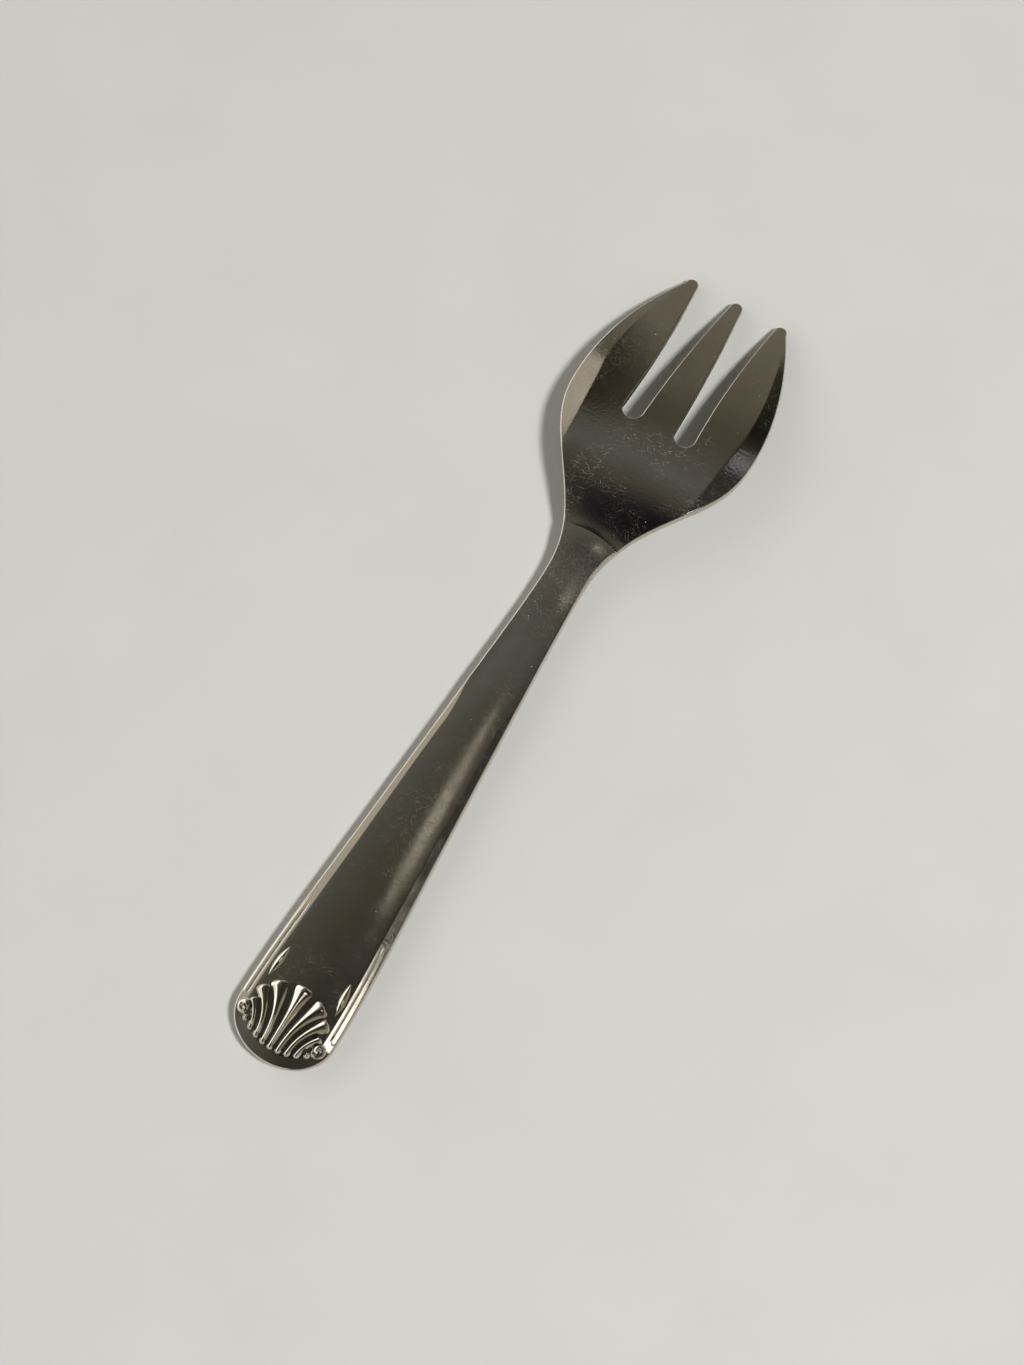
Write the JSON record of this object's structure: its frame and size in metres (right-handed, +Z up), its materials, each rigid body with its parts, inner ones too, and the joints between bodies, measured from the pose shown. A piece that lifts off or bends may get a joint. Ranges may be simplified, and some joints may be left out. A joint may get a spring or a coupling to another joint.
{
  "type": "oyster fork",
  "caption": "Small seafood fork in polished steel, with an arched, tined head, a waisted neck and a tapered handle that ends in a raised shell.",
  "frame": {"origin": "on the table surface, under the middle of the fork's length and width, with the fork lying face down", "axes": "+Y from the rounded handle end to the tine tips, +X to the right seen from above, +Z up, through the fork's back"},
  "size_m": [0.023, 0.102, 0.005],
  "materials": {
    "polished_steel": "polished, with fine scratches from use"
  },
  "bodies": {
    "root": {"handle": "polished_steel", "neck": "polished_steel", "bowl": "polished_steel", "left_tine": "polished_steel", "middle_tine": "polished_steel", "right_tine": "polished_steel", "shell_ribs": "polished_steel", "shell_scrolls": "polished_steel", "shell_husks": "polished_steel", "edge_threads": "polished_steel"}
  },
  "joints": []
}
